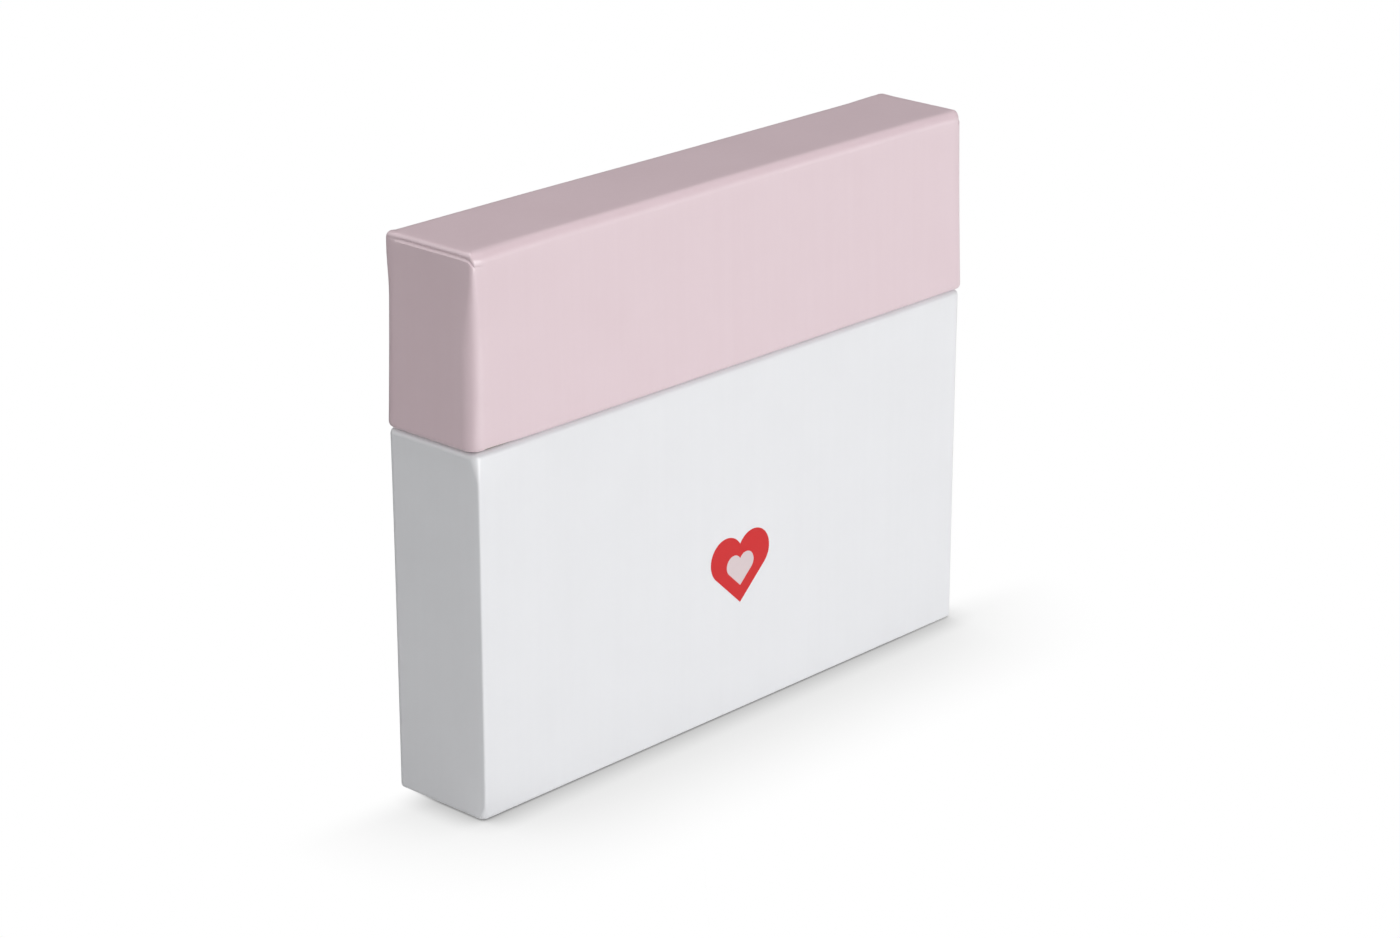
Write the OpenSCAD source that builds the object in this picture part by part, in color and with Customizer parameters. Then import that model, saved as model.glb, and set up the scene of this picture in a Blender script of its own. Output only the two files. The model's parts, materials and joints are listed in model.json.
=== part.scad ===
// Slim gift box in two colours, standing on its long narrow side.
// A tall base holds a glued-in neck, and a lift-off lid slides down over the neck
// until a fine seam is left between the two papered rims.
// Origin: middle of the underside. X runs along the front, Y to the back, Z up.

/* [Box] */
// Width of the base along its front
box_w = 156; // [110:1:220]
// Depth of the base from front to back
box_d = 26.4; // [20:0.2:70]
// Height of the base up to its papered rim
base_h = 82.4; // [50:0.1:140]
// Height of the lid from its mouth to its top
lid_h = 42.4; // [38:0.1:90]
// Height of the seam between the base's rim and the lid's mouth
seam_gap = 0.2; // [0.1:0.05:0.5]
// How far each wall of the lid stands out past the base, which is also its play on the neck
lid_ease = 0.3; // [0.2:0.05:0.5]
// Height of the neck above the base's rim
neck_rise = 30; // [16:0.5:34]

/* [Board and paper] */
// Thickness of the greyboard in the base and the lid
board_t = 1.5; // [1.2:0.1:2.5]
// Thickness of the folded board of the neck
neck_board_t = 1.2; // [0.8:0.1:2]
// Thickness of the covering and lining papers
paper_t = 0.2; // [0.12:0.02:0.3]
// Thickness of the gummed tape in the corners, which is also the glue's depth under the covers
tape_t = 0.1; // [0.06:0.02:0.16]
// Length of each leg of a corner tape
tape_leg = 9; // [5:0.5:9.5]

/* [Edges and folds] */
// Radius of the papered upright edges of base and lid
edge_r = 1.8; // [0.9:0.1:2]
// Radius of the lid's upper edges
top_r = 1.5; // [0.9:0.1:1.6]
// Radius of the base's papered rim, just below the seam
rim_r = 1.5; // [0.6:0.1:1.6]
// Radius of the lid's papered mouth, just above the seam
mouth_r = 1.2; // [0.6:0.1:1.6]
// Radius of the base's lower edges
foot_r = 0.8; // [0.5:0.1:1.2]
// Outer radius of the folds of the neck
neck_fold_r = 1; // [0.6:0.1:1.4]
// How far the covers turn in over the rims
turn_in = 15; // [8:0.5:20]
// How far the base's cover turns under the floor board
turn_under = 8; // [5:0.5:9]
// How far the bottom sheet stays back from the base's edges
sheet_margin = 1.2; // [1:0.1:3]
// Depth of the bare band above the raw upper edge of the lid's two end flaps
flap_drop = 1.4; // [1:0.1:3]

/* [Heart print] */
// Width of the printed heart
heart_w = 19.2; // [8:0.1:40]
// Height of the printed heart
heart_h = 16.4; // [8:0.1:40]
// Place of the heart's middle, to the right of the front's middle
heart_x = 2.2; // [-40:0.1:40]
// Height of the heart's middle above the surface that the box stands on
heart_z = 34.6; // [25:0.1:50]
// Thickness of the printed ink
ink_t = 0.05; // [0.03:0.01:0.1]

/* [Hidden] */
$fn = 48;

// Overrun of every cut past the face that it opens
overrun = 1;
// Side margin of the lid's end flaps, inside the rounded upright edges
flap_margin = 0.3;
// Width of the butt joint in the neck's strip, and its place from the right end of the back
joint_gap = 0.2;
joint_inset = 14;
// Width and height margin of the tape over that joint
joint_tape_w = 16;
joint_tape_margin = 2;
// Lobe radius of a heart as a share of its width, and the inner heart's size and drop
lobe_share = 0.27;
inner_heart_share = 0.46;
inner_drop_share = 0.02;
// Steps in the arc of each lobe
lobe_steps = 32;

// Colours
pink_paper = [0.87, 0.80, 0.83];
white_paper = [0.93, 0.93, 0.94];
liner_paper = [0.95, 0.95, 0.94];
greyboard = [0.60, 0.58, 0.54];
tape_paper = [0.78, 0.68, 0.52];
heart_red = [0.82, 0.15, 0.16];
heart_pink = [0.93, 0.78, 0.81];

// Depths of the layers, from a tray's outer face inwards
cover_in = paper_t;
board_out = cover_in + tape_t;
board_in = board_out + board_t;
lining_in = board_in + paper_t;

// Depths of the neck's layers, from the base's outer face inwards
neck_out = lining_in;
neck_board_out = neck_out + board_out;
neck_board_in = neck_board_out + neck_board_t;
neck_in = neck_board_in + paper_t;

// Levels of the base
cover_z = paper_t;
floor_z = cover_z + board_out;
floor_top_z = floor_z + board_t;
liner_top_z = floor_top_z + paper_t;
base_board_z = base_h - board_out;
neck_top_z = base_h + neck_rise;

// Levels of the lid
mouth_z = base_h + seam_gap;
top_z = mouth_z + lid_h;
lid_wall_z = mouth_z + board_out;
top_board_z = top_z - board_out;
ceiling_z = top_board_z - board_t;
lid_liner_z = ceiling_z - paper_t;

// Rectangle about the middle, with true arcs at its corners where the radius is not zero
module soft_rect(w, d, r) {
    square([w - 2 * r, d], center = true);
    square([w, d - 2 * r], center = true);
    if (r > 0)
        for (x = [-1, 1], y = [-1, 1])
            translate([x * (w / 2 - r), y * (d / 2 - r)]) circle(r);
}

// Upright outline from z0 to z1, with its own radius below and above
module soft_outline(w, z0, z1, r0, r1) {
    translate([-w / 2, z0 + r0]) square([w, z1 - r1 - z0 - r0]);
    translate([r0 - w / 2, z0]) square([w - 2 * r0, z1 - z0 - r1]);
    translate([r1 - w / 2, z0 + r0]) square([w - 2 * r1, z1 - z0 - r0]);
    for (x = [-1, 1]) {
        if (r0 > 0) translate([x * (w / 2 - r0), z0 + r0]) circle(r0);
        if (r1 > 0) translate([x * (w / 2 - r1), z1 - r1]) circle(r1);
    }
}

// Plain upright block with rounded upright edges
module post(w, d, z0, z1, r) {
    translate([0, 0, z0]) linear_extrude(z1 - z0) soft_rect(w, d, r);
}

// Block with rounded upright edges, lower edges and upper edges
module soft_block(w, d, z0, z1, r, r0, r1) {
    intersection() {
        post(w, d, z0, z1, r);
        rotate([90, 0, 0])
            linear_extrude(d + overrun, center = true) soft_outline(w, z0, z1, r0, r1);
        rotate([90, 0, 90])
            linear_extrude(w + overrun, center = true) soft_outline(d, z0, z1, r0, r1);
    }
}

// Radius that an outer radius becomes at a depth under the skin
function radius_at(r, depth) = max(0, r - depth);

// The base's block, set in from its outer faces by a depth
module base_block(depth, z0, z1) {
    soft_block(box_w - 2 * depth, box_d - 2 * depth, z0, z1,
        radius_at(edge_r, depth), radius_at(foot_r, depth), radius_at(rim_r, depth));
}

// The lid's block, set in from its outer faces by a depth
module lid_block(depth, z0, z1) {
    soft_block(box_w + 2 * (lid_ease - depth), box_d + 2 * (lid_ease - depth), z0, z1,
        radius_at(edge_r, depth), radius_at(mouth_r, depth), radius_at(top_r, depth));
}

// A space with upright walls inside the base or the lid, with square corners
module base_space(depth, z0, z1) {
    post(box_w - 2 * depth, box_d - 2 * depth, z0, z1, 0);
}
module lid_space(depth, z0, z1) {
    base_space(depth - lid_ease, z0, z1);
}

// The part of a block that one wall takes: a slab at its front or back over the full width,
// or one between them at its left or right end
module face_slab(side, w, d, t, z0, z1) {
    translate([-w / 2 - overrun, side > 0 ? d / 2 - t : -d / 2 - overrun, z0])
        cube([w + 2 * overrun, t + overrun, z1 - z0]);
}
module end_slab(side, w, d, t, z0, z1) {
    translate([side > 0 ? w / 2 - t : -w / 2 - overrun, t - d / 2, z0])
        cube([t + overrun, d - 2 * t, z1 - z0]);
}

// Walls of the base, which stand on the floor board
module base_face_board(side) {
    color(greyboard) intersection() {
        base_block(board_out, floor_z, base_board_z);
        face_slab(side, box_w, box_d, board_in, floor_top_z, base_board_z);
    }
}
module base_end_board(side) {
    color(greyboard) intersection() {
        base_block(board_out, floor_z, base_board_z);
        end_slab(side, box_w, box_d, board_in, floor_top_z, base_board_z);
    }
}
module base_front_board() { base_face_board(-1); }
module base_back_board() { base_face_board(1); }
module base_left_board() { base_end_board(-1); }
module base_right_board() { base_end_board(1); }

module base_floor_board() {
    color(greyboard) intersection() {
        base_block(board_out, floor_z, base_board_z);
        base_space(0, floor_z, floor_top_z);
    }
}

// Four gummed tapes folded round the upright corners of a tray of boards
module corner_stays(w, d, z0, z1) {
    color(tape_paper) for (x = [-1, 1], y = [-1, 1])
        intersection() {
            difference() {
                post(w - 2 * cover_in, d - 2 * cover_in, z0, z1, radius_at(edge_r, cover_in));
                post(w - 2 * board_out, d - 2 * board_out, z0 - overrun, z1 + overrun,
                    radius_at(edge_r, board_out));
            }
            translate([x * (w / 2 - tape_leg / 2), y * (d / 2 - tape_leg / 2), z0])
                linear_extrude(z1 - z0) square(tape_leg, center = true);
        }
}

module base_corner_stays() {
    corner_stays(box_w, box_d, floor_z + foot_r, base_board_z - rim_r);
}

// White cover of the base: one sheet over the walls, the rim and the floor board's margin
module base_wrap() {
    color(white_paper) difference() {
        base_block(0, cover_z, base_h);
        difference() {
            base_block(cover_in, cover_z + paper_t, base_h - paper_t);
            base_space(board_in, base_h - turn_in, base_h + overrun);
        }
        base_space(lining_in, base_h - turn_in - overrun, base_h + overrun);
        base_space(turn_under, -overrun, floor_z);
    }
}

// Sheet glued over the turned-under margins, on which the box stands
module base_bottom_sheet() {
    color(white_paper)
        post(box_w - 2 * sheet_margin, box_d - 2 * sheet_margin, 0, paper_t, edge_r);
}

module base_floor_liner() {
    color(liner_paper) base_space(board_in, floor_top_z, liner_top_z);
}

// Ring of one depth inside the base, with rounded corners outside and square ones inside
module neck_ring(out, in, z0, z1, r) {
    difference() {
        post(box_w - 2 * out, box_d - 2 * out, z0, z1, r);
        base_space(in, z0 - overrun, z1 + overrun);
    }
}

// Neck: one strip of board folded into a ring, its two ends meeting in the back
module neck_board() {
    color(greyboard) difference() {
        neck_ring(neck_board_out, neck_board_in, liner_top_z, neck_top_z - board_out,
            radius_at(neck_fold_r, board_out));
        translate([box_w / 2 - joint_inset, 0, 0]) cube([joint_gap, box_d, neck_top_z]);
    }
}

module neck_joint_tape() {
    color(tape_paper)
        translate([box_w / 2 - joint_inset + joint_gap / 2 - joint_tape_w / 2,
            box_d / 2 - neck_board_out, liner_top_z + joint_tape_margin])
            cube([joint_tape_w, tape_t,
                neck_top_z - board_out - liner_top_z - 2 * joint_tape_margin]);
}

// White cover of the neck, outside, over its upper edge and down inside to the floor
module neck_wrap() {
    color(white_paper) difference() {
        neck_ring(neck_out, neck_in, liner_top_z, neck_top_z, neck_fold_r);
        neck_ring(neck_out + cover_in, neck_board_in, liner_top_z - overrun,
            neck_top_z - paper_t, radius_at(neck_fold_r, cover_in));
    }
}

// Points of a heart about its middle: the tip, the right lobe's arc from the straight side
// to the notch, and the same arc mirrored and taken the other way round
function heart_points(w, h) =
    let (
        lobe_r = w * lobe_share,
        lobe_x = w / 2 - lobe_r,
        lobe_y = h / 2 - lobe_r,
        reach = h - lobe_r,
        side_angle = atan2(reach, lobe_x) - asin(lobe_r / norm([lobe_x, reach])),
        first = side_angle - 90,
        last = acos(-lobe_x / lobe_r),
        lobe = [for (i = [0 : lobe_steps])
            let (a = first + (last - first) * i / lobe_steps)
            [lobe_x + lobe_r * cos(a), lobe_y + lobe_r * sin(a)]]
    )
    concat([[0, -h / 2]], lobe, [for (i = [lobe_steps - 1 : -1 : 0]) [-lobe[i][0], lobe[i][1]]]);

module heart(w, h) {
    polygon(heart_points(w, h));
}

module inner_heart() {
    translate([0, -heart_h * inner_drop_share])
        heart(heart_w * inner_heart_share, heart_h * inner_heart_share);
}

// Lays an outline on the base's front as a film of ink
module print_on_front() {
    translate([heart_x, -box_d / 2, heart_z]) rotate([90, 0, 0]) linear_extrude(ink_t) children();
}

module heart_print_red() {
    color(heart_red) print_on_front() difference() {
        heart(heart_w, heart_h);
        inner_heart();
    }
}

module heart_print_pink() {
    color(heart_pink) print_on_front() inner_heart();
}

// Walls of the lid, which the top board lies over
module lid_face_board(side) {
    color(greyboard) intersection() {
        lid_block(board_out, lid_wall_z, top_board_z);
        face_slab(side, box_w + 2 * lid_ease, box_d + 2 * lid_ease, board_in,
            lid_wall_z, ceiling_z);
    }
}
module lid_end_board(side) {
    color(greyboard) intersection() {
        lid_block(board_out, lid_wall_z, top_board_z);
        end_slab(side, box_w + 2 * lid_ease, box_d + 2 * lid_ease, board_in,
            lid_wall_z, ceiling_z);
    }
}
module lid_front_board() { lid_face_board(-1); }
module lid_back_board() { lid_face_board(1); }
module lid_left_board() { lid_end_board(-1); }
module lid_right_board() { lid_end_board(1); }

module lid_top_board() {
    color(greyboard) intersection() {
        lid_block(board_out, lid_wall_z, top_board_z);
        lid_space(0, ceiling_z, top_board_z);
    }
}

module lid_corner_stays() {
    corner_stays(box_w + 2 * lid_ease, box_d + 2 * lid_ease,
        lid_wall_z + mouth_r, top_board_z - top_r);
}

// Raw-edged flap of cover glued over one end of the lid
module end_flap(side) {
    flap_d = box_d + 2 * (lid_ease - edge_r - flap_margin);
    translate([side * (box_w / 2 + lid_ease) - (side < 0 ? paper_t : 0), -flap_d / 2,
        mouth_z + mouth_r])
        cube([paper_t, flap_d, lid_h - mouth_r - flap_drop]);
}

// Pink cover of the lid: one sheet over the top, the walls and the mouth
module lid_wrap() {
    color(pink_paper) {
        difference() {
            lid_block(0, mouth_z, top_z);
            difference() {
                lid_block(cover_in, mouth_z + paper_t, top_z - paper_t);
                lid_space(board_in, mouth_z - overrun, mouth_z + turn_in);
            }
            lid_space(lining_in, mouth_z - overrun, mouth_z + turn_in + overrun);
        }
        for (side = [-1, 1]) end_flap(side);
    }
}

// White lining of the lid's walls, from the cover's turned-in edge up to the ceiling
module lid_wall_liner() {
    color(liner_paper) difference() {
        lid_space(board_in, mouth_z + turn_in, lid_liner_z);
        lid_space(lining_in, mouth_z, top_z);
    }
}

module lid_top_liner() {
    color(liner_paper) lid_space(board_in, lid_liner_z, ceiling_z);
}

base_front_board();
base_back_board();
base_left_board();
base_right_board();
base_floor_board();
base_corner_stays();
base_wrap();
base_bottom_sheet();
base_floor_liner();
neck_board();
neck_joint_tape();
neck_wrap();
heart_print_red();
heart_print_pink();
lid_front_board();
lid_back_board();
lid_left_board();
lid_right_board();
lid_top_board();
lid_corner_stays();
lid_wrap();
lid_wall_liner();
lid_top_liner();
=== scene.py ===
import json
import math

import bmesh
import bpy
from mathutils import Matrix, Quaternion, Vector, noise


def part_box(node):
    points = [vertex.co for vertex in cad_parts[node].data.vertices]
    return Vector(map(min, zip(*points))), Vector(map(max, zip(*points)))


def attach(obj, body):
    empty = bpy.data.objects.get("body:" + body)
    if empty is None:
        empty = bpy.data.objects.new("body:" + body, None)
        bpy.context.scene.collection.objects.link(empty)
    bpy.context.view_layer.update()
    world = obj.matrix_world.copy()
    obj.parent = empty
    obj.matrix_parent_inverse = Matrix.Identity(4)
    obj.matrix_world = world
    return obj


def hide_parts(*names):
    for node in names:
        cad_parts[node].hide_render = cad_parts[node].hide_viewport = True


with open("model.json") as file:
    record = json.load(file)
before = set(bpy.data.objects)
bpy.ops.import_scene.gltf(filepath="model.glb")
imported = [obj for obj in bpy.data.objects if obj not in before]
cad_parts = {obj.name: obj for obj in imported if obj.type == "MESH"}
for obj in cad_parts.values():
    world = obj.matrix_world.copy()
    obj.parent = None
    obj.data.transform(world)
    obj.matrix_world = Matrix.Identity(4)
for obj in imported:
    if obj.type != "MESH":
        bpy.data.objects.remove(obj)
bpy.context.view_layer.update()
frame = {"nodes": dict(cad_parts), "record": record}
mm = 0.001


# A direction, in degrees from the front towards the right and in degrees above the floor
def towards(turn, height):
    turn, height = math.radians(turn), math.radians(height)
    level = math.cos(height)
    return Vector((math.sin(turn) * level, -math.cos(turn) * level, math.sin(height)))


print("camera")
# The photograph's frame is 1400 by 938 pixels, and the focal length is given in those pixels
view = {
    "place": (-558.6 * mm, -522.7 * mm, 336.2 * mm),
    "turn": 132.932,
    "height": -20.16,
    "roll": 0.034,
    "focalPixels": 3656,
    "framePixels": 1400,
    "sensor": 36,
}


def addCamera():
    data = bpy.data.cameras.new("photoCamera")
    data.sensor_width = view["sensor"]
    data.lens = view["focalPixels"] * view["sensor"] / view["framePixels"]
    camera = bpy.data.objects.new("photoCamera", data)
    bpy.context.scene.collection.objects.link(camera)
    camera.location = view["place"]
    ahead = towards(view["turn"], view["height"]).to_track_quat("-Z", "Y")
    roll = Quaternion((0, 0, 1), math.radians(view["roll"]))
    camera.rotation_euler = (ahead @ roll).to_euler()
    bpy.context.scene.camera = camera


addCamera()
print("materials")


# Colours are written as they look on a screen, 0 to 255, and turned into light here
def tint(red, green, blue):
    def light(level):
        share = level / 255
        return share / 12.92 if share <= 0.04045 else ((share + 0.055) / 1.055) ** 2.4
    return (light(red), light(green), light(blue), 1)


# A value in a material: a sum written on it adds its Math nodes
class Wire:
    def __init__(self, paint, socket):
        self.paint, self.socket = paint, socket

    def __add__(self, other):
        return self.paint.maths("ADD", self, other)

    def __sub__(self, other):
        return self.paint.maths("SUBTRACT", self, other)

    def __rsub__(self, other):
        return self.paint.maths("SUBTRACT", other, self)

    def __mul__(self, other):
        return self.paint.maths("MULTIPLY", self, other)

    __radd__ = __add__
    __rmul__ = __mul__


# The nodes of one material, or of the world, added by one method
class Paint:
    def __init__(self, owner):
        self.owner = owner
        owner.use_nodes = True
        self.tree = owner.node_tree
        self.tree.nodes.clear()
        self.place = self.node("ShaderNodeTexCoord", output="Object")

    def node(self, kind, settings=None, inputs=None, output=0):
        made = self.tree.nodes.new(kind)
        for name, value in (settings or {}).items():
            setattr(made, name, value)
        for name, value in (inputs or {}).items():
            if isinstance(value, Wire):
                self.tree.links.new(value.socket, made.inputs[name])
            else:
                made.inputs[name].default_value = value
        return Wire(self, made.outputs[output]) if made.outputs else None

    def maths(self, operation, first, second, clamp=False):
        settings = {"operation": operation, "use_clamp": clamp}
        return self.node("ShaderNodeMath", settings, {0: first, 1: second})

    def clamped(self, value):
        return self.maths("ADD", value, 0, clamp=True)

    # cloudy values on both sides of 0
    def noise(self, size, stretch=(1, 1, 1), detail=2):
        scale = [1 / share for share in stretch]
        vector = self.node("ShaderNodeMapping", None, {"Vector": self.place, "Scale": scale})
        inputs = {"Vector": vector, "Scale": 1 / size, "Detail": detail}
        return self.node("ShaderNodeTexNoise", None, inputs) - 0.5

    def blend(self, share, first, second):
        return self.node("ShaderNodeMix", {"data_type": "RGBA"}, {0: share, 6: first, 7: second}, 2)

    # a value that turns smoothly from one level to another along a direction
    def ramp(self, way, span, levels):
        settings = {"operation": "DOT_PRODUCT"}
        along = self.node("ShaderNodeVectorMath", settings, {0: self.place, 1: way}, "Value")
        settings = {"interpolation_type": "SMOOTHSTEP"}
        ends = dict(zip(("From Min", "From Max", "To Min", "To Max"), (*span, *levels)))
        return self.node("ShaderNodeMapRange", settings, {"Value": along, **ends})

    # what most rays meet, what gloss mirrors, and what the camera sees
    def byRay(self, plain, mirrored, shown):
        rays = (("Is Glossy Ray", mirrored), ("Is Transmission Ray", shown), ("Is Camera Ray", shown))
        for ray, shader in rays:
            share = self.node("ShaderNodeLightPath", output=ray)
            plain = self.node("ShaderNodeMixShader", None, {0: share, 1: plain, 2: shader})
        return plain

    def finish(self, look, colour, mottle, height):
        relief = {"Height": height, "Distance": look["depth"], "Strength": 1}
        bump = self.node("ShaderNodeBump", None, relief)
        roughness = mottle * look["gloss"] + look["roughness"]
        inputs = {"Base Color": colour, "Roughness": roughness, "Normal": bump, **look["shine"]}
        shader = self.node("ShaderNodeBsdfPrincipled", None, inputs)
        self.node("ShaderNodeOutputMaterial", None, {"Surface": shader})
        return self.owner


# A covering paper under a matt film: faint cloudiness, fibres, and the streaks of its making.
# A share says how much of a pattern the colour takes, and a relief how much of it the surface takes
filmLook = {
    "cloud": 14 * mm,
    "fibre": 0.5 * mm,
    "fibreDetail": 3,
    "streak": 1.6 * mm,
    "streakLength": 45,
    "cloudShare": 1.2,
    "fibreShare": 0.5,
    "streakShare": 0.9,
    "fibreRelief": 0.6,
    "streakRelief": 0.4,
    "depth": 0.012 * mm,
    "gloss": 0.06,
    "roughness": 0.4,
    "shine": {"Specular IOR Level": 1, "Coat Weight": 1, "Coat Roughness": 0.4, "Coat IOR": 1.9},
}


def filmPaper(name, colour, shade):
    look = filmLook
    paint = Paint(bpy.data.materials.new(name))
    cloud = paint.noise(look["cloud"])
    fibre = paint.noise(look["fibre"], detail=look["fibreDetail"])
    streak = paint.noise(look["streak"], (1, 1, look["streakLength"]))
    mixture = cloud * look["cloudShare"] + fibre * look["fibreShare"] + streak * look["streakShare"]
    height = fibre * look["fibreRelief"] + streak * look["streakRelief"]
    return paint.finish(look, paint.blend(mixture + 0.5, shade, colour), fibre + cloud, height)


# Uncoated paper: whiter, duller and a little rougher than the covers
plainLook = {
    "cloud": 9 * mm,
    "fibre": 0.35 * mm,
    "fibreDetail": 4,
    "cloudShare": 0.8,
    "fibreShare": 1.4,
    "depth": 0.02 * mm,
    "gloss": 0.1,
    "roughness": 0.75,
    "shine": {"Specular IOR Level": 0.25},
}
# Printed ink is less glossy than the film of the paper round it
inkLook = {
    "cloud": 3 * mm,
    "fibre": 0.5 * mm,
    "fibreDetail": 3,
    "cloudShare": 0.5,
    "fibreShare": 0.8,
    "depth": 0.012 * mm,
    "gloss": 0.06,
    "roughness": 0.4,
    "shine": {"Specular IOR Level": 0.3},
}


def mottled(look, name, colour, shade):
    paint = Paint(bpy.data.materials.new(name))
    cloud = paint.noise(look["cloud"])
    fibre = paint.noise(look["fibre"], detail=look["fibreDetail"])
    mixture = cloud * look["cloudShare"] + fibre * look["fibreShare"]
    return paint.finish(look, paint.blend(mixture + 0.5, shade, colour), fibre, fibre)


# Greyboard: recycled pulp with dark and light flecks
boardLook = {
    "pulp": 1.2 * mm,
    "pulpDetail": 5,
    "pulpColours": (tint(132, 127, 118), tint(168, 163, 152)),
    "fleck": 0.45 * mm,
    "fleckDetail": 1,
    "fleckEdge": 0.14,
    "fleckSharp": 14,
    "darkFleck": (0.6, tint(82, 78, 74)),
    "lightFleck": (0.5, tint(206, 203, 196)),
    "depth": 0.05 * mm,
    "gloss": 0.1,
    "roughness": 0.9,
    "shine": {"Specular IOR Level": 0.15},
}


def greyBoard(name):
    look = boardLook
    paint = Paint(bpy.data.materials.new(name))
    pulp = paint.noise(look["pulp"], detail=look["pulpDetail"])
    fleck = paint.noise(look["fleck"], detail=look["fleckDetail"])
    base = paint.blend(pulp + 0.5, *look["pulpColours"])
    for side, (share, colour) in ((fleck, look["darkFleck"]), (0 - fleck, look["lightFleck"])):
        spots = paint.clamped((side - look["fleckEdge"]) * look["fleckSharp"])
        base = paint.blend(spots * share, base, colour)
    return paint.finish(look, base, pulp, pulp)


# Brown gummed paper, with its fibres running up the tape
tapeLook = {
    "fibre": 0.4 * mm,
    "fibreDetail": 4,
    "fibreLength": 6,
    "colours": (tint(176, 146, 108), tint(214, 188, 150)),
    "depth": 0.02 * mm,
    "gloss": 0.1,
    "roughness": 0.7,
    "shine": {"Specular IOR Level": 0.3},
}


def gummedTape(name):
    look = tapeLook
    paint = Paint(bpy.data.materials.new(name))
    fibre = paint.noise(look["fibre"], (1, 1, look["fibreLength"]), look["fibreDetail"])
    return paint.finish(look, paint.blend(fibre + 0.5, *look["colours"]), fibre, fibre)


paints = {
    "pink_paper": filmPaper("pinkFilmPaper", tint(231, 207, 214), tint(228, 203, 210)),
    "white_paper": filmPaper("whiteFilmPaper", tint(241, 242, 245), tint(238, 239, 242)),
    "neck_paper": mottled(plainLook, "neckPaper", tint(243, 243, 242), tint(235, 235, 234)),
    "lining_paper": mottled(plainLook, "liningPaper", tint(241, 240, 237), tint(232, 231, 228)),
    "greyboard": greyBoard("greyboard"),
    "gummed_tape": gummedTape("gummedTape"),
    "red_ink": mottled(inkLook, "redInk", tint(213, 41, 43), tint(209, 38, 41)),
    "pink_ink": mottled(inkLook, "pinkInk", tint(224, 208, 210), tint(220, 204, 206)),
}

slots = {row["node"]: row["material_slot"] for row in frame["record"]["subparts"]}
for name, node in frame["nodes"].items():
    node.data.materials.clear()
    node.data.materials.append(paints[slots[name]])


# Every tool works on one piece at a time, so the rest is deselected first
def startPiece(name, low, high):
    bpy.ops.object.select_all(action="DESELECT")
    bpy.ops.mesh.primitive_cube_add(size=1, location=(low + high) / 2)
    piece = bpy.context.object
    piece.name = piece.data.name = name
    piece.scale = high - low
    bpy.ops.object.transform_apply(location=True, rotation=True, scale=True)
    bpy.ops.object.mode_set(mode="EDIT")
    return piece


# Selects what a test says: it is given a place and, for edges and faces, a direction
def pick(piece, kind, test):
    bpy.ops.mesh.select_mode(type=kind)
    bpy.ops.mesh.select_all(action="DESELECT")
    mesh = bmesh.from_edit_mesh(piece.data)
    if kind == "EDGE":
        found = []
        for edge in mesh.edges:
            first, last = edge.verts[0].co, edge.verts[1].co
            if test((first + last) / 2, (last - first).normalized()):
                found.append(edge)
    else:
        found = [face for face in mesh.faces if test(face.calc_center_median(), face.normal)]
    for part in found:
        part.select_set(True)
    mesh.select_flush_mode()
    bmesh.update_edit_mesh(piece.data)


aligned = 0.9  # how closely a direction has to follow an axis


def vertical(at, way):
    return abs(way.z) > aligned


def roundUprights(piece, radius, segments):
    pick(piece, "EDGE", vertical)
    bpy.ops.mesh.bevel(offset=radius, offset_type="OFFSET", segments=segments, profile=0.5,
                       affect="EDGES", clamp_overlap=False, loop_slide=True)


# Cuts the faces that a test says by planes across one axis
def cutAcross(piece, axis, places, test=lambda at, way: True):
    normal = [0, 0, 0]
    normal[axis] = 1
    for place in places:
        pick(piece, "FACE", test)
        point = [0, 0, 0]
        point[axis] = place
        bpy.ops.mesh.bisect(plane_co=point, plane_no=normal)


def steps(start, stop, most):
    count = max(1, math.ceil((stop - start) / most))
    return [start + (stop - start) * number / count for number in range(count + 1)]


# Pushes points of the open mesh: the push is worked out from each place
def press(piece, push):
    mesh = bmesh.from_edit_mesh(piece.data)
    for vert in mesh.verts:
        move = push(vert.co)
        if move is not None:
            vert.co += move
    bmesh.update_edit_mesh(piece.data)


# From 0 at the start to 1 at the stop, easing in and out
def ease(value, start, stop):
    share = min(1, max(0, (value - start) / (stop - start)))
    return share * share * (3 - 2 * share)


# What the covers share: each is a tray under one sheet, whose margin is turned in behind the rim.
# A wall leans fully down to the skin's depth and not at all at its own, and the cap leans whole
tray = {
    "wall": 2.0 * mm,
    "innerRound": 0.35 * mm,
    "innerSteps": 3,
    "turnIn": 15 * mm,
    "grid": 2 * mm,
    "hold": 0.35 * mm,
    "sheet": 0.18 * mm,
    "leastCorner": 0.04 * mm,
    "skin": 1.2 * mm,
    "margin": 3 * mm,
    "cap": 2.5 * mm,
    "touch": 0.05 * mm,
    "calmSide": (2 * mm, 9 * mm),
    "calmEnd": (2 * mm, 6 * mm),
    "smoothAngle": 34,
}


# Closes a skin of paper into a sheet of its own thickness, laid on the inside
def finishSheet(piece, thickness=tray["sheet"]):
    bpy.ops.object.mode_set(mode="OBJECT")
    sheet = piece.modifiers.new("sheet", "SOLIDIFY")
    sheet.thickness, sheet.offset, sheet.use_even_offset = thickness, -1, False
    bpy.ops.object.modifier_apply(modifier=sheet.name)


def finishPiece(piece, body, slot, nodes):
    if piece.mode == "EDIT":
        bpy.ops.object.mode_set(mode="OBJECT")
    bpy.ops.object.shade_smooth_by_angle(angle=math.radians(tray["smoothAngle"]))
    piece.data.materials.append(paints[slot])
    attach(piece, body)
    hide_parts(*nodes)


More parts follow.
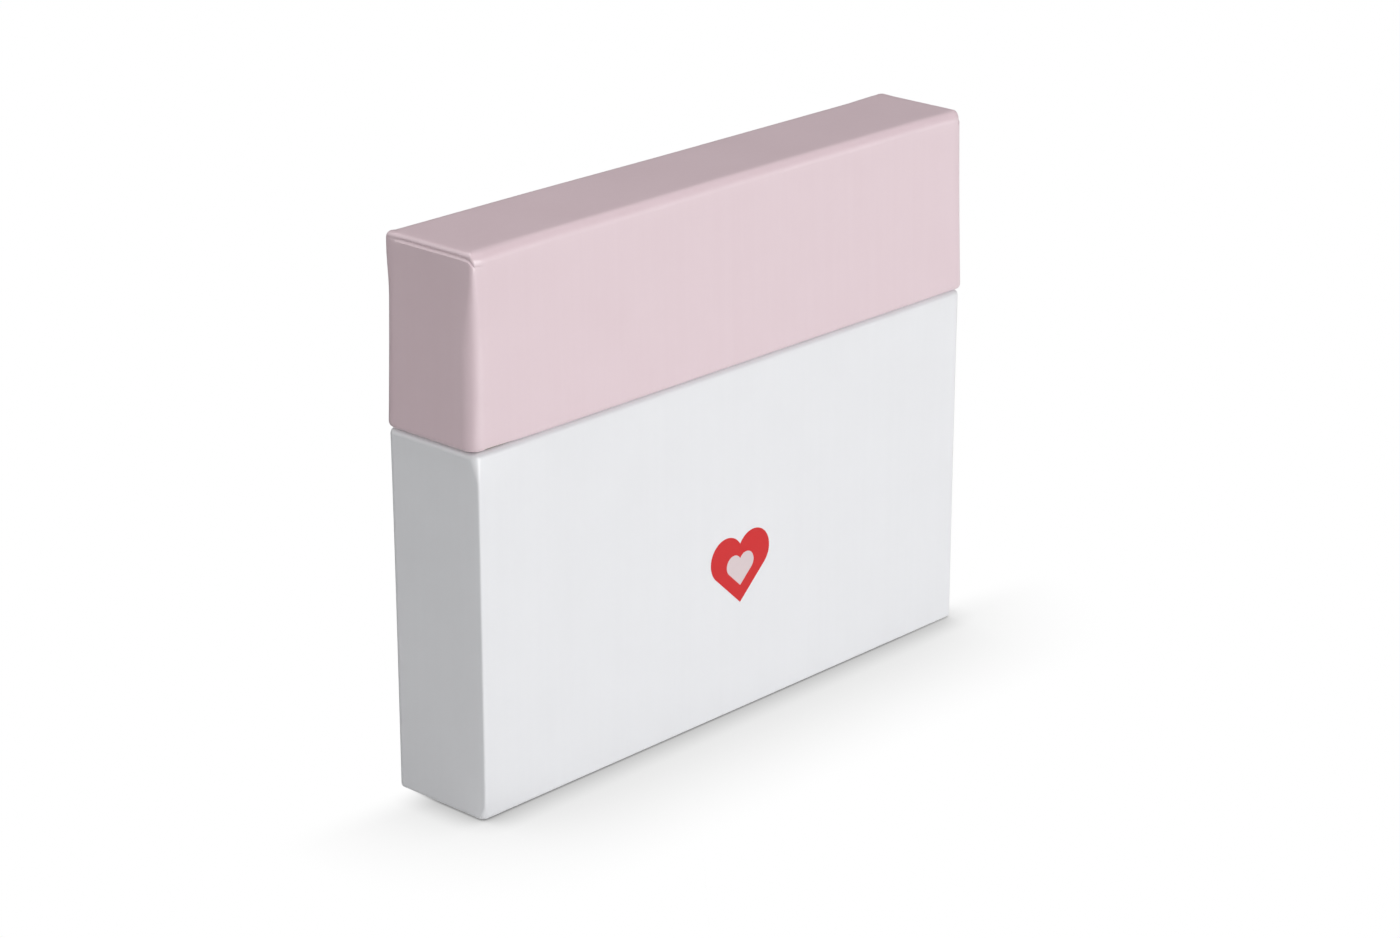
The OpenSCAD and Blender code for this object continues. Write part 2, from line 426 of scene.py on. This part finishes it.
# A round edge as steps inwards and onwards, from the wall to the face it turns into
def roundEdge(radius, count):
    angles = [math.pi / 2 * number / count for number in range(count + 1)]
    return [(radius * (math.cos(first) - math.cos(last)), radius * (math.sin(last) - math.sin(first)))
            for first, last in zip(angles, angles[1:])]


# The same round edge, from the face back down into the opening
def roundBack(radius, count):
    return [(onwards, -inwards) for inwards, onwards in roundEdge(radius, count)]


# A tray's rim: its round outer edge, the flat, its inner edge, and the margin turned in
def rimProfile(radius, count):
    inner = tray["innerRound"]
    flat = [(tray["wall"] - radius - inner, 0)]
    down = [(0, inner - tray["turnIn"])]
    return roundEdge(radius, count) + flat + roundBack(inner, tray["innerSteps"]) + down


# Carries a block's end face along a profile: inset while its round corners last, then scaled
def followProfile(piece, way, half, corner, profile):
    pick(piece, "FACE", lambda at, facing: facing.z * way > aligned)
    x, y = half.x, half.y
    for inwards, onwards in profile:
        corner -= inwards
        if inwards and corner > tray["leastCorner"]:
            bpy.ops.mesh.inset(thickness=inwards, depth=onwards)
        else:
            bpy.ops.mesh.extrude_region_move(TRANSFORM_OT_translate={"value": (0, 0, onwards * way)})
            scale = ((x - inwards) / x, (y - inwards) / y, 1)
            bpy.ops.transform.resize(value=scale, center_override=(0, 0, 0))
        x, y = x - inwards, y - inwards


# How far a place lies inside the outline, and how far the outline has turned there:
# 0 at the flat ends, 1 at the flat sides
def outline(at, half, radius):
    overX, overY = abs(at.x) - (half.x - radius), abs(at.y) - (half.y - radius)
    if overX > 0 and overY > 0:
        return radius - math.hypot(overX, overY), math.atan2(overY, overX) / (math.pi / 2)
    return (radius - overX, 0) if overX > overY else (radius - overY, 1)


endTurn, sideTurn = 0.001, 0.999  # up to and from these turns a place is on the flat


def outwards(at, turn):
    angle = turn * math.pi / 2
    return Vector((math.copysign(math.cos(angle), at.x), math.copysign(math.sin(angle), at.y), 0))


# What a round corner loses at a turn when its radius gets smaller by 1
def cornerLoss(turn):
    angle = turn * math.pi / 2
    return 1 - math.cos(angle), 1 - math.sin(angle)


def gridOver(piece, half, radius, lowZ, highZ):
    hold = tray["hold"]
    flatX, flatY = half.x - radius, half.y - radius
    for axis, flat in ((0, flatX), (1, flatY)):
        cutAcross(piece, axis, steps(hold - flat, flat - hold, tray["grid"]) + [-flat, flat])
    cutAcross(piece, 2, steps(lowZ + hold, highZ - hold, tray["grid"]))


# Moves the outer skin in or out by an amount for each height, but not what is turned in
def lean(piece, half, radius, amount):
    def push(at):
        inside = outline(at, half, radius)[0]
        walled = inside < tray["margin"] and at.z <= half.z - tray["cap"]
        share = 1 - ease(inside, tray["skin"], tray["wall"]) if walled else 1
        moveX, moveY = amount(at.z)
        return Vector((moveX * at.x / half.x, moveY * at.y / half.y, 0)) * share
    press(piece, push)


# Slow waves in a glued sheet, calm at its upright edges and where a test says
def ripple(piece, half, radius, look, calmAt):
    size = look["waveSize"]

    def push(at):
        inside, turn = outline(at, half, radius)
        if inside > tray["touch"]:
            return None
        if turn > 0.5:
            flat = ease(half.x - abs(at.x), *tray["calmSide"])
        else:
            flat = ease(half.y - abs(at.y), *tray["calmEnd"])
        wave = noise.noise(Vector((at.x / size, at.y / size, at.z / size))) * look["waveHeight"]
        return outwards(at, turn) * wave * min(flat, calmAt(at))
    press(piece, push)


# The lid's pink cover. An upright edge has a radius at the mouth, one at the top, and the drop
# between the two
lidLook = {
    "corner": 3.6 * mm,
    "cornerSteps": 10,
    "nearRound": (3.6 * mm, 1.1 * mm, 22 * mm),
    "backRound": (3.1 * mm, 1.8 * mm, 14 * mm),
    "rightRound": (2.6 * mm, 2.6 * mm, 10 * mm),
    "roundTop": 2.5 * mm,
    "roundShare": 0.8,
    "topLong": 2.3 * mm,
    "topEnd": 0.9 * mm,
    "topSteps": 7,
    "topSlack": 1.01,
    "mouth": 1.2 * mm,
    "mouthSteps": 6,
    "mouthX": 0.29 * mm,
    "mouthY": 0.38 * mm,
    "pinchX": 0.5 * mm,
    "pinchY": 0.58 * mm,
    "drawIn": 0.07 * mm,
    "drawDown": (10 * mm, 34 * mm),
    "drawReach": 22 * mm,
    "drawDepth": (0.6 * mm, 1.9 * mm),
    "capProud": 0.65 * mm,
    "capDown": (2 * mm, 18 * mm),
    "warp": 0.22 * mm,
    "warpAlong": (-45 * mm, 10 * mm),
    "warpEnd": (3 * mm, 14 * mm),
    "warpDown": (8 * mm, 2.5 * mm),
    "waveSize": 24 * mm,
    "waveHeight": 0.08 * mm,
    "calmMouth": (2 * mm, 9 * mm),
    "calmTop": (2 * mm, 8 * mm),
}
# Each end's flap stops short of the top in a raw edge over a groove, and drops away in a crease
# at the corners
flapLook = {
    "top": 1.4 * mm,
    "proud": 0.34 * mm,
    "edgeRound": 0.3 * mm,
    "edgeLip": 0.06 * mm,
    "groove": 0.16 * mm,
    "grooveUp": 0.2 * mm,
    "grooveWidth": 0.16 * mm,
    "grooveFade": 0.4,
    "creaseDrop": 1.9 * mm,
    "creaseUp": 0.6 * mm,
    "creaseSlope": 0.4,
    "lastTurn": 0.99,
    "reach": 5 * mm,
    "depth": 1.5 * mm,
    "flush": (-1.5 * mm, 0.5 * mm),
}
lidLow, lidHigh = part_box("lid_wrap")


# The lid is a little wider at its mouth and draws in towards its top
def lidLean(z):
    look = lidLook
    share = min(1, max(0, (z - lidLow.z) / (lidHigh.z - lidLow.z)))
    flare = (1 - share) ** 2
    leanX = look["mouthX"] * flare - look["pinchX"] * share
    leanY = look["mouthY"] * flare - look["pinchY"] * share
    return leanX, leanY


# The upper edges are sharper at the ends than along the sides
def sharpenTop(cover, half):
    corner, long, end = lidLook["corner"], lidLook["topLong"], lidLook["topEnd"]
    within = long * lidLook["topSlack"]

    def push(at):
        inside, turn = outline(at, half, corner)
        down = half.z - at.z
        if down > within or inside > within:
            return None
        share = 1 - (end + (long - end) * ease(turn, 0, 1)) / long
        return outwards(at, turn) * inside * share + Vector((0, 0, down * share))
    press(cover, push)


# Cuts along the flaps' raw edges and creases, then sets the flaps proud, except at the back corners
def addFlaps(cover, half):
    look, corner = flapLook, lidLook["corner"]
    ledge = half.z - look["top"]
    fall, groove, flatY = look["edgeRound"], look["grooveUp"], half.y - corner
    levels = [0, -fall / 3, -fall, look["edgeLip"], groove, 2 * groove]
    bottom, above = ledge - look["reach"], ledge + look["creaseUp"]
    end = half.x - tray["touch"]
    places = [ledge + level for level in levels]
    cutAcross(cover, 2, places, lambda at, way: abs(at.x) > end and at.z > bottom)
    for sideX in (-1, 1):
        for sideY in (-1, 1):
            first = Vector((sideX * half.x, sideY * flatY, ledge))
            last = Vector((sideX * (half.x - corner), sideY * half.y, ledge - look["creaseDrop"]))
            across = (last - first).cross(Vector((sideX, sideY, 0))).normalized()
            across *= math.copysign(1, across.z)

            def atCorner(at, way):
                outside = at.x * sideX > half.x - corner and at.y * sideY > flatY
                return outside and abs(way.z) < look["creaseSlope"] and bottom < at.z < above
            for level in levels:
                pick(cover, "FACE", atCorner)
                bpy.ops.mesh.bisect(plane_co=first + across * level, plane_no=across)

    def push(at):
        inside, turn = outline(at, half, corner)
        if turn > look["lastTurn"] or at.z < bottom or inside > look["depth"]:
            return None
        up = at.z - (ledge - look["creaseDrop"] * turn)
        back = look["proud"] * ease(up, -fall, look["edgeLip"]) * math.cos(turn * math.pi / 2)
        hollow = math.exp(-((up - groove) / look["grooveWidth"]) ** 2)
        back += look["groove"] * hollow * (1 - look["grooveFade"] * turn)
        return outwards(at, turn) * -back * (1 - ease(at.y - flatY, *look["flush"]))
    press(cover, push)


# Right of its middle the top is a little higher along the front than along the back
def warpTop(cover, half):
    look = lidLook

    def push(at):
        along = ease(at.x, *look["warpAlong"]) * ease(half.x - at.x, *look["warpEnd"])
        share = along * ease(half.z - at.z, *look["warpDown"])
        return Vector((0, 0, -look["warp"] * at.y / half.y * share)) if share else None
    press(cover, push)


# Gives each upright edge its own radii
def tightenCorners(cover, half):
    look, corner = lidLook, lidLook["corner"]

    def push(at):
        inside, turn = outline(at, half, corner)
        kind = "rightRound" if at.x > 0 else "nearRound" if at.y < 0 else "backRound"
        lower, upper, drop = look[kind]
        less = corner - lower + (lower - upper) * ease(half.z - at.z, drop, look["roundTop"])
        less = min(less, look["roundShare"] * (corner - inside))
        if not endTurn < turn < sideTurn or less <= 0:
            return None
        lossX, lossY = cornerLoss(turn)
        return Vector((math.copysign(lossX, at.x), math.copysign(lossY, at.y), 0)) * less
    press(cover, push)


# Close to the edge nearest the view the front stands out at the top and gives up its flare below
def drawNearCorner(cover, half):
    look, corner = lidLook, lidLook["corner"]

    def push(at):
        inside, turn = outline(at, half, corner)
        if at.x > 0 or at.y > 0 or turn < endTurn:
            return None
        near = turn * (1 - ease(half.x + at.x, corner, look["drawReach"]))
        near *= 1 - ease(inside, *look["drawDepth"])
        down = half.z - at.z
        back = max(0, lidLean(at.z)[1]) + look["drawIn"] * ease(down, *look["drawDown"])
        return Vector((0, back - look["capProud"] * (1 - ease(down, *look["capDown"])), 0)) * near
    press(cover, push)


def addLidCover():
    look = lidLook
    half, corner, long, mouth = lidHigh, look["corner"], look["topLong"], look["mouth"]
    cover = startPiece("lidCover", lidLow + Vector((0, 0, mouth)), lidHigh - Vector((0, 0, long)))
    roundUprights(cover, corner, look["cornerSteps"])
    followProfile(cover, 1, half, corner, roundEdge(long, look["topSteps"]))
    followProfile(cover, -1, half, corner, rimProfile(mouth, look["mouthSteps"]))
    bpy.ops.mesh.delete(type="FACE")
    gridOver(cover, half, corner, lidLow.z + mouth, lidHigh.z - long)
    sharpenTop(cover, half)
    addFlaps(cover, half)

    def calm(at):
        return ease(at.z - lidLow.z, *look["calmMouth"]) * ease(half.z - at.z, *look["calmTop"])
    ripple(cover, half, corner, look, calm)
    warpTop(cover, half)
    tightenCorners(cover, half)
    drawNearCorner(cover, half)
    lean(cover, half, corner, lidLean)
    finishSheet(cover)
    finishPiece(cover, "lid", "pink_paper", ["lid_wrap"])


# The lid's boards and corner tapes lie just under its cover and lean with it
lidBoardLook = {
    "thick": 1.5 * mm,
    "corner": 3.4 * mm,
    "cornerSteps": 6,
    "edge": 1.8 * mm,
    "edgeSteps": 3,
    "skin": 0.2 * mm,
    "slack": 0.1 * mm,
    "cutEnd": 2 * mm,
    "cutEvery": 6 * mm,
    "leg": 9 * mm,
    "tape": 0.08 * mm,
}


def leanIn(at, half):
    leanX, leanY = lidLean(at.z)
    return Vector((min(0, leanX) * at.x / half.x, min(0, leanY) * at.y / half.y, 0))


def addLidBoards():
    look = lidBoardLook
    thick, corner, edge = look["thick"], look["corner"], look["edge"]
    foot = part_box("lid_left_board")[0].z
    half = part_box("lid_top_board")[1]
    boards = startPiece("lidBoards", Vector((-half.x, -half.y, foot)), half - Vector((0, 0, edge)))
    roundUprights(boards, corner, look["cornerSteps"])
    followProfile(boards, 1, half, corner, roundEdge(edge, look["edgeSteps"]))
    followProfile(boards, -1, half, corner, [(thick, 0), (0, foot + thick - half.z)])
    cutAcross(boards, 2, steps(foot + look["cutEnd"], half.z - look["cutEnd"], look["cutEvery"]))

    def push(at):
        capped = at.z > half.z - edge - look["slack"]
        share = 1 if capped else 1 - ease(outline(at, half, corner)[0], look["skin"], thick)
        return leanIn(at, half) * share
    press(boards, push)
    finishPiece(boards, "lid", "greyboard", ["lid_front_board", "lid_back_board", "lid_left_board",
                                             "lid_right_board", "lid_top_board"])


def addLidTapes():
    look = lidBoardLook
    low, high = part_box("lid_corner_stays")
    tapes = startPiece("lidTapes", low, high)
    pick(tapes, "FACE", vertical)
    bpy.ops.mesh.delete(type="FACE")
    roundUprights(tapes, look["corner"], look["cornerSteps"])
    gapX, gapY = high.x - look["leg"], high.y - look["leg"]
    cutAcross(tapes, 0, [-gapX, gapX])
    cutAcross(tapes, 1, [-gapY, gapY])
    cutAcross(tapes, 2, steps(low.z + look["cutEvery"], high.z - look["cutEvery"], look["cutEvery"]))
    pick(tapes, "FACE", lambda at, way: abs(at.x) < gapX or abs(at.y) < gapY)
    bpy.ops.mesh.delete(type="FACE")
    press(tapes, lambda at: leanIn(at, high))
    finishSheet(tapes, look["tape"])
    finishPiece(tapes, "lid", "gummed_tape", ["lid_corner_stays"])


# The base's white cover
baseLook = {
    "corner": 1.8 * mm,
    "cornerSteps": 12,
    "rim": 1.5 * mm,
    "rimSteps": 7,
    "foot": 0.8 * mm,
    "footSteps": 4,
    "turnUnder": 8 * mm,
    "rimX": 0.14 * mm,
    "rimY": 0.1 * mm,
    "footX": 0.09 * mm,
    "waveSize": 26 * mm,
    "waveHeight": 0.07 * mm,
    "calmRim": (2 * mm, 9 * mm),
    "calmPrint": (14 * mm, 28 * mm),
    "bulgeX": 0.14 * mm,
    "bulgeY": 0.64 * mm,
    "bulgeDepth": 1 * mm,
    "bulgeEnd": 4.5 * mm,
    "bulgeReach": 20 * mm,
    "bulgeFoot": (0, 4 * mm),
    "bulgeTop": (0.5 * mm, 7 * mm),
    "foldRound": 0.45 * mm,
}
baseLow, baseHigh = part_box("base_wrap")


def baseLean(z):
    share = min(1, max(0, z / baseHigh.z))
    rim, foot = share ** 4, (1 - share) ** 2
    return baseLook["rimX"] * rim + baseLook["footX"] * foot, baseLook["rimY"] * rim


# The sheet bulges at the edge nearest the view and folds sharply into the front
def bulgeNearCorner(cover, half):
    look, corner = baseLook, baseLook["corner"]
    bulgeX, bulgeY, less = look["bulgeX"], look["bulgeY"], corner - look["foldRound"]

    def push(at):
        inside, turn = outline(at, half, corner)
        if at.x > 0 or at.y > 0 or inside > look["bulgeDepth"]:
            return None
        share = ease(at.z, *look["bulgeFoot"]) * ease(half.z - at.z, *look["bulgeTop"])
        if turn < endTurn:
            near = 1 - ease(half.y + at.y, corner, look["bulgeEnd"])
            return Vector((bulgeX * near, 0, 0)) * share
        if turn > sideTurn:
            near = 1 - ease(half.x + at.x, corner, look["bulgeReach"])
            return Vector((0, -bulgeY * near, 0)) * share
        lossX, lossY = cornerLoss(turn)
        return Vector((bulgeX - less * lossX, -bulgeY - less * lossY, 0)) * share
    press(cover, push)


def addBaseCover():
    look = baseLook
    half, corner, foot, rim = baseHigh, look["corner"], look["foot"], look["rim"]
    cover = startPiece("baseCover", baseLow + Vector((0, 0, foot)), baseHigh - Vector((0, 0, rim)))
    roundUprights(cover, corner, look["cornerSteps"])
    followProfile(cover, 1, half, corner, rimProfile(rim, look["rimSteps"]))
    bpy.ops.mesh.delete(type="FACE")
    under = [(look["turnUnder"] - foot, 0)]
    followProfile(cover, -1, half, corner, roundEdge(foot, look["footSteps"]) + under)
    bpy.ops.mesh.delete(type="FACE")
    gridOver(cover, half, corner, baseLow.z + foot, baseHigh.z - rim)
    bulgeNearCorner(cover, half)
    printLow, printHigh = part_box("heart_print_red")
    middle = (printLow + printHigh) / 2

    def calm(at):
        away = ease(half.z - at.z, *look["calmRim"]) * ease(at.z - baseLow.z, *look["calmRim"])
        if at.y < 0:
            away *= ease(math.hypot(at.x - middle.x, at.z - middle.z), *look["calmPrint"])
        return away
    ripple(cover, half, corner, look, calm)
    lean(cover, half, corner, baseLean)
    finishSheet(cover)
    finishPiece(cover, "base", "white_paper", ["base_wrap"])


# The neck's white cover, whose sheet laps over itself at the back
neckLook = {
    "fold": 1.0 * mm,
    "foldSteps": 6,
    "wall": 1.7 * mm,
    "rim": 0.5 * mm,
    "rimSteps": 4,
    "lapX": 48 * mm,
    "lapProud": 0.12 * mm,
    "lapWidth": 0.05 * mm,
    "back": 0.1 * mm,
    "touch": 0.01 * mm,
}


def addNeckCover():
    look = neckLook
    low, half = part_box("neck_wrap")
    rim, count, lap, touch = look["rim"], look["rimSteps"], look["lapX"], look["touch"]
    cover = startPiece("neckCover", low, half - Vector((0, 0, rim)))
    pick(cover, "FACE", lambda at, way: way.z < -aligned)
    bpy.ops.mesh.delete(type="FACE")
    roundUprights(cover, look["fold"], look["foldSteps"])
    flat = [(look["wall"] - 2 * rim, 0)]
    down = [(0, low.z + rim - half.z)]
    profile = roundEdge(rim, count) + flat + roundBack(rim, count) + down
    followProfile(cover, 1, half, look["fold"], profile)
    bpy.ops.mesh.delete(type="FACE")
    cutAcross(cover, 0, [lap, lap + look["lapWidth"]], lambda at, way: at.y > half.y - look["back"])

    def push(at):
        lapped = abs(at.y - half.y) < touch and abs(at.x - lap) < touch
        return Vector((0, look["lapProud"], 0)) if lapped else None
    press(cover, push)
    finishSheet(cover)
    finishPiece(cover, "base", "neck_paper", ["neck_wrap"])


print("lid")
addLidCover()
addLidBoards()
addLidTapes()
print("base")
addBaseCover()
addNeckCover()


print("light and floor")
# A span runs along its direction: in metres on the floor, as a cosine in the sky
studio = {
    "dome": 0.51,
    "floorColour": 0.8,
    "floorSide": 8,
    "shadowReach": (0.04, 0.007),
    "shadowDepth": (0.45, 0.4),
    "shadowTilt": (0.1, 0.45, 1),
    "shadowSamples": 16,
    "shadowWay": (-0.1, -1, 0),
    "shadowSpan": (-0.004, 0.008),
    "glossTurn": 47,
    "glossSpan": (-0.09, -0.01),
    "glossLevels": (0.03, 0.65),
    "skyWay": (-0.62, 0.6, 0.5),
    "skySpan": (0.7, 0.95),
    "skyLevels": (0.06, 0.8),
    "lampSize": (0.7, 0.6),
    "lampRange": 1.3,
    "lampHeight": 0.06,
}
# turn and height of each lamp's direction in degrees, and its power in watts
lamps = {
    "lampFront": (0, 8, 5.8),
    "lampRight": (47, 2, 1.5),
    "lampTop": (0, 89, 6.6),
}


def grey(level):
    return (level, level, level, 1)


def addWorld():
    paint = Paint(bpy.data.worlds.new("studio"))
    # in the gloss the sky is dim, with a brighter patch behind on the left for the base's rim
    way = Vector(studio["skyWay"]).normalized()
    mirrored = paint.ramp(way, studio["skySpan"], studio["skyLevels"])
    skies = [paint.node("ShaderNodeBackground", None, {"Color": grey(1), "Strength": strength})
             for strength in (studio["dome"], mirrored, 1)]
    paint.node("ShaderNodeOutputWorld", None, {"Surface": paint.byRay(*skies)})
    bpy.context.scene.world = paint.owner


# A white floor that keeps a soft shadow close to whatever stands on it, none of it behind
def addFloor():
    bpy.ops.object.select_all(action="DESELECT")
    bpy.ops.mesh.primitive_plane_add(size=studio["floorSide"], location=(0, 0, 0))
    floor = bpy.context.object
    floor.name = "floor"
    paint = Paint(bpy.data.materials.new("floorWhite"))
    tilt = Vector(studio["shadowTilt"]).normalized()
    level = 1 - sum(studio["shadowDepth"])
    for reach, depth in zip(studio["shadowReach"], studio["shadowDepth"]):
        near = paint.node("ShaderNodeAmbientOcclusion", {"samples": studio["shadowSamples"]},
                          {"Distance": reach, "Normal": tilt}, "AO")
        level = near * depth + level
    fade = paint.ramp(studio["shadowWay"], studio["shadowSpan"], (0, 1))
    shown = paint.node("ShaderNodeEmission", None, {"Color": 1 - (1 - level) * fade})
    matt = paint.node("ShaderNodeBsdfDiffuse", None, {"Color": grey(studio["floorColour"])})
    # in the gloss the floor is white towards the front right and dim on the other side
    gloss = paint.ramp(towards(studio["glossTurn"], 0), studio["glossSpan"], studio["glossLevels"])
    mirrored = paint.node("ShaderNodeEmission", None, {"Color": gloss})
    paint.node("ShaderNodeOutputMaterial", None, {"Surface": paint.byRay(matt, mirrored, shown)})
    floor.data.materials.append(paint.owner)


def addLamp(name, turn, height, power):
    data = bpy.data.lights.new(name, "AREA")
    data.shape = "RECTANGLE"
    data.size, data.size_y = studio["lampSize"]
    data.energy = power
    lamp = bpy.data.objects.new(name, data)
    bpy.context.scene.collection.objects.link(lamp)
    way = towards(turn, height)
    lamp.location = way * studio["lampRange"] + Vector((0, 0, studio["lampHeight"]))
    lamp.rotation_euler = (-way).to_track_quat("-Z", "Y").to_euler()


addWorld()
addFloor()
for name, (turn, height, power) in lamps.items():
    addLamp(name, turn, height, power)
bpy.context.scene.view_settings.view_transform = "Standard"
